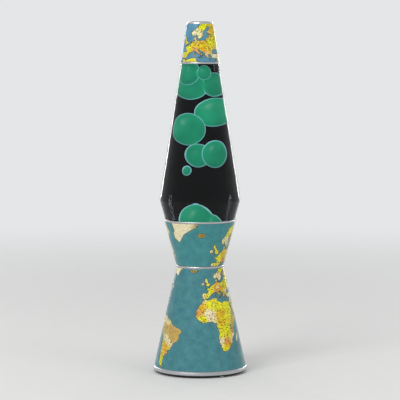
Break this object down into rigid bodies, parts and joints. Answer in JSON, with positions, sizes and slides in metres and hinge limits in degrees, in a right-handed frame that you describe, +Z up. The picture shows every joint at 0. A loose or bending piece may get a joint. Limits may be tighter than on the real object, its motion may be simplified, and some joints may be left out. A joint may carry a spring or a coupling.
{
  "type": "lava lamp",
  "caption": "Rocket-shaped table lamp: a hot bulb under a glass globe of liquid drives slow drops of coloured wax, on a printed metal base with a matching cap.",
  "frame": {"origin": "on the table, on the lamp's vertical axis, at the underside of the rubber foot ring", "axes": "+Z up along the lamp's axis, -Y the front, +Y the back where the cord leaves"},
  "size_m": [0.1072, 0.2101, 0.4],
  "materials": {
    "printed_map": "printed gloss film",
    "spun_aluminium": "satin, spun",
    "globe_glass": "polished clear",
    "liquid": "dark tinted, clear",
    "wax": "smooth, slightly waxy",
    "steel": "zinc plated",
    "liner": "soft sealing disc",
    "holder_plastic": "moulded",
    "ceramic": "unglazed",
    "brass": "nickel-free, bright",
    "bulb_glass": "mirrored behind, frosted in front",
    "bulb_metal": "bright",
    "black_glass": "fused black glass",
    "black_plastic": "fine moulded grain",
    "rubber": "matt",
    "cord_sheath": "round PVC sheath",
    "core_brown": "PVC insulation",
    "core_blue": "PVC insulation"
  },
  "bodies": {
    "base": {"cup_film": "printed_map", "skirt_film": "printed_map", "cup_shell": "spun_aluminium", "skirt_shell": "spun_aluminium", "waist_ring": "spun_aluminium", "waist_screws": "steel", "waist_nuts": "steel", "plate_screws": "steel", "plate_nuts": "steel", "clamp_screws": "steel", "switch_screws": "steel", "holder_bracket": "steel", "holder_nipple": "steel", "nipple_nuts": "steel", "holder_cap": "holder_plastic", "holder_skirt": "holder_plastic", "holder_insert": "ceramic", "holder_thread": "brass", "centre_contact": "brass", "side_contact": "brass", "terminal_screws": "brass", "switch_contacts": "brass", "plug_pins": "brass", "base_plate": "black_plastic", "cord_clamp": "black_plastic", "switch_lower": "black_plastic", "switch_upper": "black_plastic", "plug_body": "black_plastic", "pin_sleeves": "black_plastic", "foot_ring": "rubber", "grommet": "rubber", "cord_lamp_side": "cord_sheath", "cord_plug_side": "cord_sheath", "core_live": "core_brown", "core_neutral": "core_blue"},
    "globe": {"globe_glass": "globe_glass", "crown_cork": "steel", "crown_liner": "liner", "liquid": "liquid", "wire_coil": "steel", "wax_pool": "wax", "wax_top": "wax"},
    "cap": {"cap_shell": "spun_aluminium", "cap_film": "printed_map"},
    "bulb_carrier": {"bulb_tip": "bulb_metal"},
    "bulb": {"bulb_glass": "bulb_glass", "bulb_cap": "bulb_metal", "bulb_insulator": "black_glass", "bulb_stem": "bulb_glass", "filament_legs": "bulb_metal", "filament": "bulb_metal"},
    "rocker": {"rocker": "black_plastic"},
    "wax_blob_upper": {"wax_blob_upper": "wax"},
    "wax_blob_large": {"wax_blob_large": "wax"},
    "wax_blob_front": {"wax_blob_front": "wax"},
    "wax_blob_rear": {"wax_blob_rear": "wax"},
    "wax_droplet": {"wax_droplet": "wax"}
  },
  "joints": [
    {"name": "globe_lift", "type": "slide", "parent": "base", "child": "globe", "axis": [0, 0, 1], "range_m": [0, 0.06]},
    {"name": "cap_lift", "type": "slide", "parent": "globe", "child": "cap", "axis": [0, 0, 1], "range_m": [0, 0.06]},
    {"name": "bulb_rise", "type": "slide", "parent": "base", "child": "bulb_carrier", "axis": [0, 0, 1], "range_m": [0, 0.0113]},
    {"name": "bulb_turn", "type": "hinge", "parent": "bulb_carrier", "child": "bulb", "pos_m": [0, 0, 0.07], "axis": [0, 0, 1], "range_deg": [0, 1440]},
    {"name": "switch_rocker", "type": "hinge", "parent": "base", "child": "rocker", "pos_m": [0, 0.106, 0.0136], "axis": [0, 1, 0], "range_deg": [0, 18]},
    {"name": "blob_upper_drift", "type": "slide", "parent": "globe", "child": "wax_blob_upper", "axis": [0, 0, 1], "range_m": [-0.022, 0]},
    {"name": "blob_large_drift", "type": "slide", "parent": "globe", "child": "wax_blob_large", "axis": [0, 0, 1], "range_m": [-0.0075, 0.004]},
    {"name": "blob_front_drift", "type": "slide", "parent": "globe", "child": "wax_blob_front", "axis": [0, 0, 1], "range_m": [-0.036, 0]},
    {"name": "blob_rear_drift", "type": "slide", "parent": "globe", "child": "wax_blob_rear", "axis": [0, 0, 1], "range_m": [-0.036, 0]},
    {"name": "droplet_drift", "type": "slide", "parent": "globe", "child": "wax_droplet", "axis": [0, 0, 1], "range_m": [-0.028, 0.01]}
  ],
  "couplings": [
    {"joint": "bulb_rise", "follows": "bulb_turn", "m_per_rad": 0.00044882}
  ]
}
